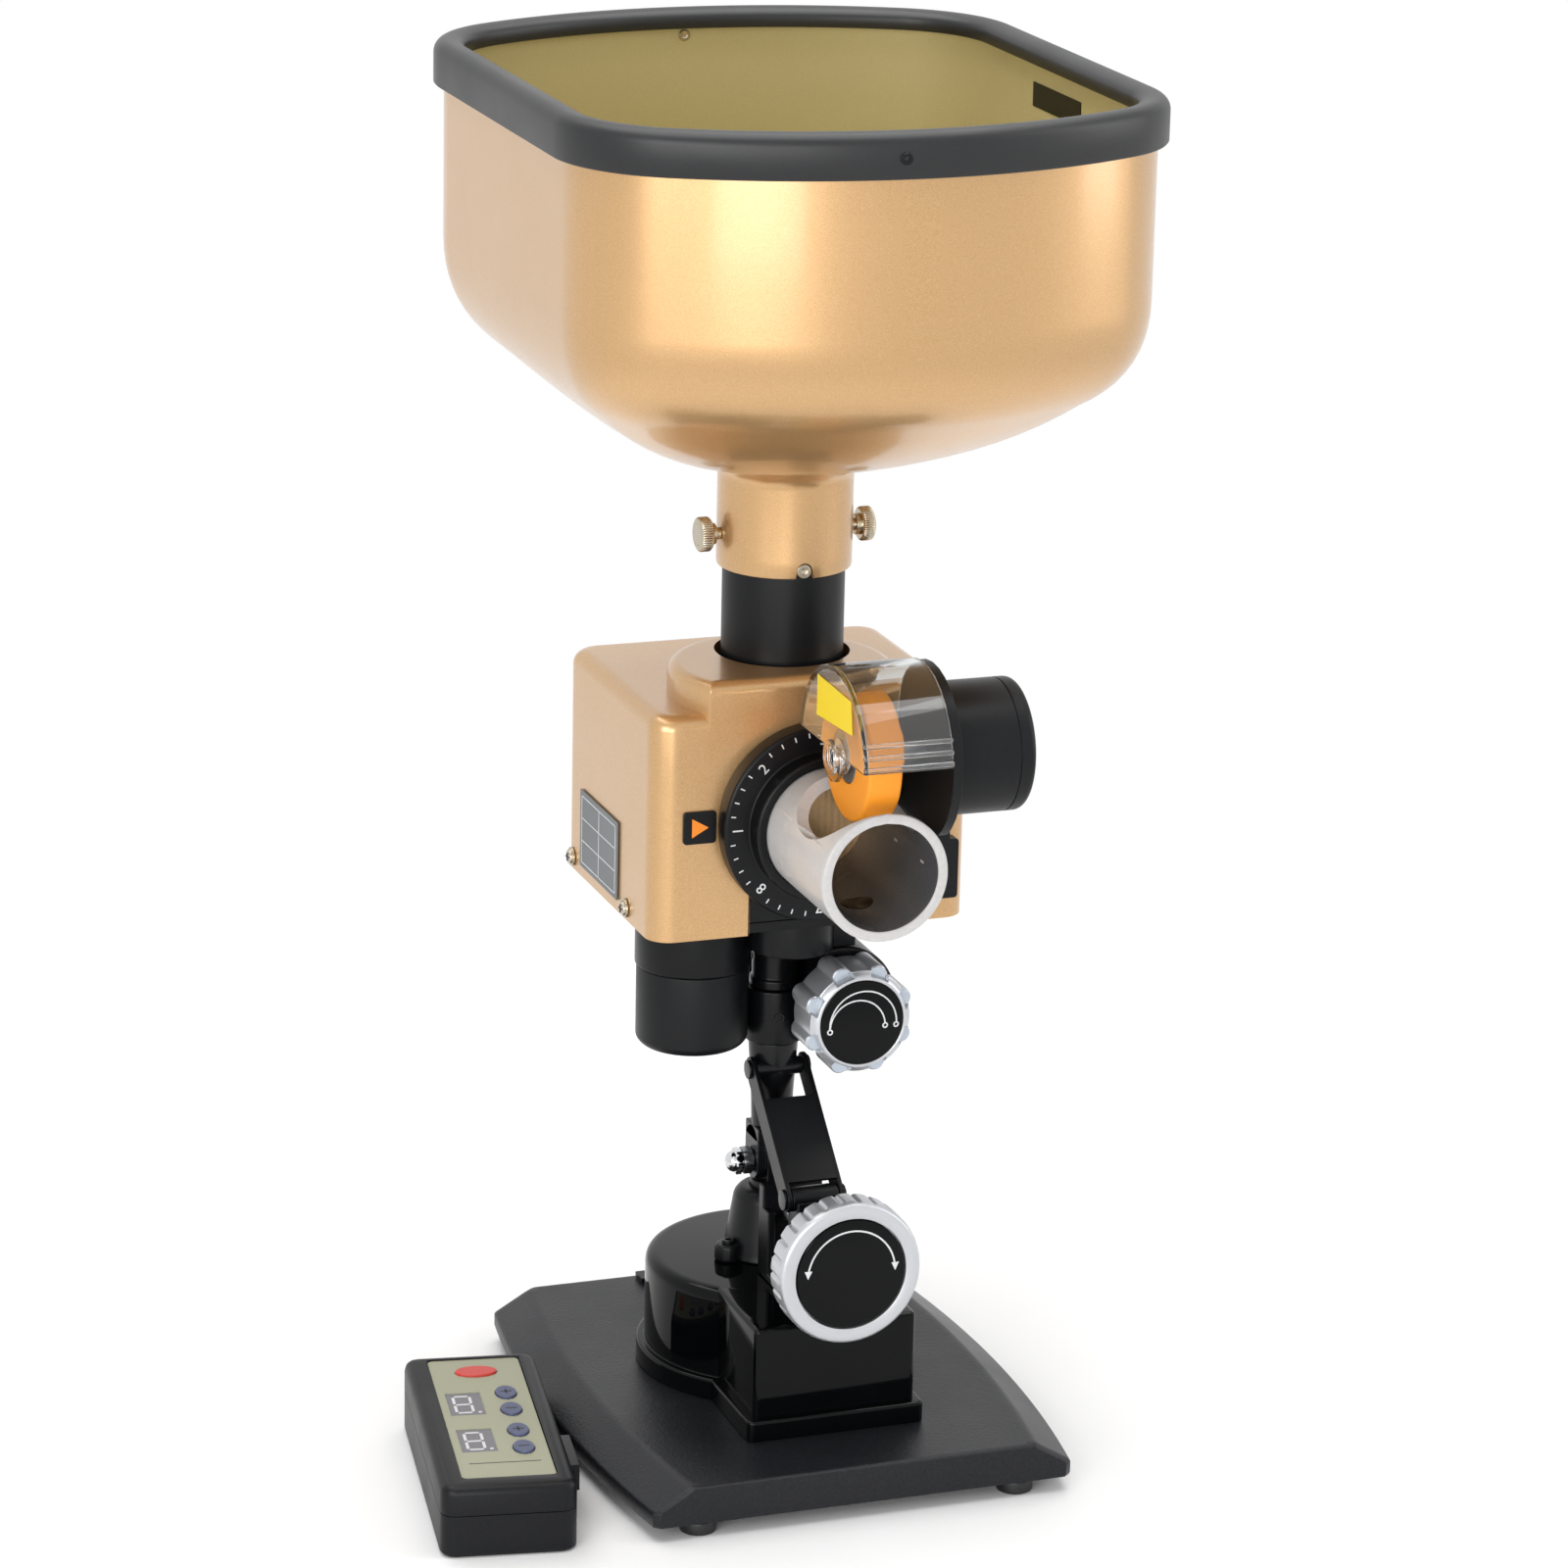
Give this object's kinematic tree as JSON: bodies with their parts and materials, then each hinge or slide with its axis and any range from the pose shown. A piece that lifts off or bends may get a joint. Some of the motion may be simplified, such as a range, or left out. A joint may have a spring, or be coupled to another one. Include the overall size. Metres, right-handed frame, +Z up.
{
  "type": "table tennis robot",
  "caption": "Ball-throwing practice robot: weighted base, tilting and panning head, turning shooter with a foam wheel, open ball hopper on top, loose control box beside it.",
  "frame": {"origin": "on the table, under the middle of the whole object's footprint, control box included", "axes": "+Z up, -Y the way the balls leave, +X to the right when facing the front"},
  "size_m": [0.296, 0.2952, 0.5676],
  "materials": {
    "gold_paint": "satin metallic champagne-gold paint",
    "black_paint": "dark satin powder coat",
    "gloss_black": "polished black moulding",
    "satin_black": "satin black moulding",
    "black_metal": "black oxide on steel",
    "black_aluminium": "black anodised aluminium",
    "silver_plastic": "silver metallic coating",
    "chrome": "bright chrome",
    "steel": "turned steel",
    "rubber": "matt black rubber",
    "pale_plastic": "pale grey moulding",
    "orange_foam": "fine-celled orange foam rubber",
    "clear_plastic": "clear moulded plastic",
    "panel_beige": "printed film",
    "key_blue": "blue-grey silicone",
    "key_red": "red silicone",
    "label_grey": "grey printed foil"
  },
  "bodies": {
    "base": {"base_plate": "black_paint", "foot_front_left": "rubber", "foot_front_right": "rubber", "foot_rear_left": "rubber", "foot_rear_right": "rubber", "turret_cover": "gloss_black", "power_inlet": "satin_black", "pivot_post": "black_metal", "post_boot": "satin_black", "screw_cradle": "black_metal", "pivot_bolt": "steel", "pivot_nut": "steel", "acorn_nut": "chrome"},
    "neck": {"neck_fork": "black_metal", "neck_collar": "black_metal", "link_pin_upper": "steel"},
    "head": {"pan_hub": "black_aluminium", "head_plate": "satin_black", "sweep_gearbox": "satin_black", "head_cover": "gold_paint", "pointer_plate": "satin_black", "rating_plate": "label_grey", "cover_screw_front": "steel", "cover_screw_rear": "steel", "feed_block": "satin_black", "feed_gearbox": "black_aluminium", "feed_motor": "black_aluminium", "feed_tube": "black_aluminium"},
    "hopper": {"hopper": "gold_paint", "hopper_rim": "rubber"},
    "thumb_screw_left": {"thumb_screw_left": "steel"},
    "thumb_screw_right": {"thumb_screw_right": "steel"},
    "feed_star": {"star_wheel": "orange_foam", "star_shaft": "steel"},
    "angle_knob": {"angle_shaft": "steel", "angle_knob": "silver_plastic", "angle_knob_cap": "gloss_black"},
    "shooter": {"dial": "satin_black", "outlet_tube": "pale_plastic", "motor_bracket": "black_aluminium", "throw_motor": "black_aluminium", "wheel_guard": "clear_plastic"},
    "throw_wheel": {"throw_wheel": "orange_foam", "wheel_hub": "steel", "wheel_screw": "chrome"},
    "nut": {"nut_block": "black_metal", "link_pin_lower": "steel"},
    "link": {"link": "black_metal"},
    "loop_knob": {"loop_knob": "silver_plastic", "loop_knob_cap": "gloss_black", "lead_screw": "steel"},
    "control_box": {"control_case_lower": "satin_black", "control_case_upper": "satin_black", "control_panel": "panel_beige"},
    "key_stop": {"key_stop": "key_red"},
    "key_speed_up": {"key_speed_up": "key_blue"},
    "key_speed_down": {"key_speed_down": "key_blue"},
    "key_rate_up": {"key_rate_up": "key_blue"},
    "key_rate_down": {"key_rate_down": "key_blue"}
  },
  "joints": [
    {"name": "head_tilt", "type": "hinge", "parent": "base", "child": "neck", "pos_m": [0.025, 0, 0.1105], "axis": [1, 0, 0], "range_deg": [-8, 10]},
    {"name": "head_pan", "type": "hinge", "parent": "neck", "child": "head", "pos_m": [0.025, 0, 0.2], "axis": [0, 0, 1], "range_deg": [-20, 20]},
    {"name": "hopper_lift", "type": "slide", "parent": "head", "child": "hopper", "axis": [0, 0, 1], "range_m": [0, 0.028]},
    {"name": "thumb_screw_left_turn", "type": "hinge", "parent": "hopper", "child": "thumb_screw_left", "pos_m": [-0.0089, 0, 0.38], "axis": [1, 0, 0], "range_deg": [-540, 0]},
    {"name": "thumb_screw_right_turn", "type": "hinge", "parent": "hopper", "child": "thumb_screw_right", "pos_m": [0.0589, 0, 0.38], "axis": [-1, 0, 0], "range_deg": [-540, 0]},
    {"name": "feed_star_spin", "type": "hinge", "parent": "head", "child": "feed_star", "pos_m": [-0.0108, 0, 0.271], "axis": [0, 0, 1], "continuous": true},
    {"name": "angle_knob_turn", "type": "hinge", "parent": "head", "child": "angle_knob", "pos_m": [0.045, -0.0385, 0.1847], "axis": [0, 1, 0], "range_deg": [-135, 135]},
    {"name": "shooter_turn", "type": "hinge", "parent": "head", "child": "shooter", "pos_m": [0.025, -0.0705, 0.271], "axis": [0, 1, 0], "continuous": true},
    {"name": "throw_wheel_spin", "type": "hinge", "parent": "shooter", "child": "throw_wheel", "pos_m": [0.025, -0.0955, 0.313], "axis": [1, 0, 0], "continuous": true},
    {"name": "nut_travel", "type": "slide", "parent": "base", "child": "nut", "axis": [0, 1, 0], "range_m": [-0.00845, 0.00676]},
    {"name": "link_swing", "type": "hinge", "parent": "nut", "child": "link", "pos_m": [0.025, -0.0511, 0.1118], "axis": [1, 0, 0], "range_deg": [-1.6, 1.3]},
    {"name": "loop_knob_turn", "type": "hinge", "parent": "base", "child": "loop_knob", "pos_m": [0.025, -0.0905, 0.096], "axis": [0, 1, 0], "range_deg": [-1215, 1518]},
    {"name": "control_box_lift", "type": "slide", "parent": "base", "child": "control_box", "axis": [0, 0, 1], "range_m": [0, 0.05]},
    {"name": "key_stop_press", "type": "slide", "parent": "control_box", "child": "key_stop", "axis": [0, 0, -1], "range_m": [0, 0.0006], "stiffness_N_per_m": 400, "springref_m": -0.0006},
    {"name": "key_speed_up_press", "type": "slide", "parent": "control_box", "child": "key_speed_up", "axis": [0, 0, -1], "range_m": [0, 0.0006], "stiffness_N_per_m": 400, "springref_m": -0.0006},
    {"name": "key_speed_down_press", "type": "slide", "parent": "control_box", "child": "key_speed_down", "axis": [0, 0, -1], "range_m": [0, 0.0006], "stiffness_N_per_m": 400, "springref_m": -0.0006},
    {"name": "key_rate_up_press", "type": "slide", "parent": "control_box", "child": "key_rate_up", "axis": [0, 0, -1], "range_m": [0, 0.0006], "stiffness_N_per_m": 400, "springref_m": -0.0006},
    {"name": "key_rate_down_press", "type": "slide", "parent": "control_box", "child": "key_rate_down", "axis": [0, 0, -1], "range_m": [0, 0.0006], "stiffness_N_per_m": 400, "springref_m": -0.0006}
  ],
  "couplings": [
    {"joint": "nut_travel", "follows": "head_tilt", "m_per_rad": -0.0483},
    {"joint": "link_swing", "follows": "head_tilt", "ratio": -0.15},
    {"joint": "loop_knob_turn", "follows": "head_tilt", "ratio": 151.7}
  ]
}
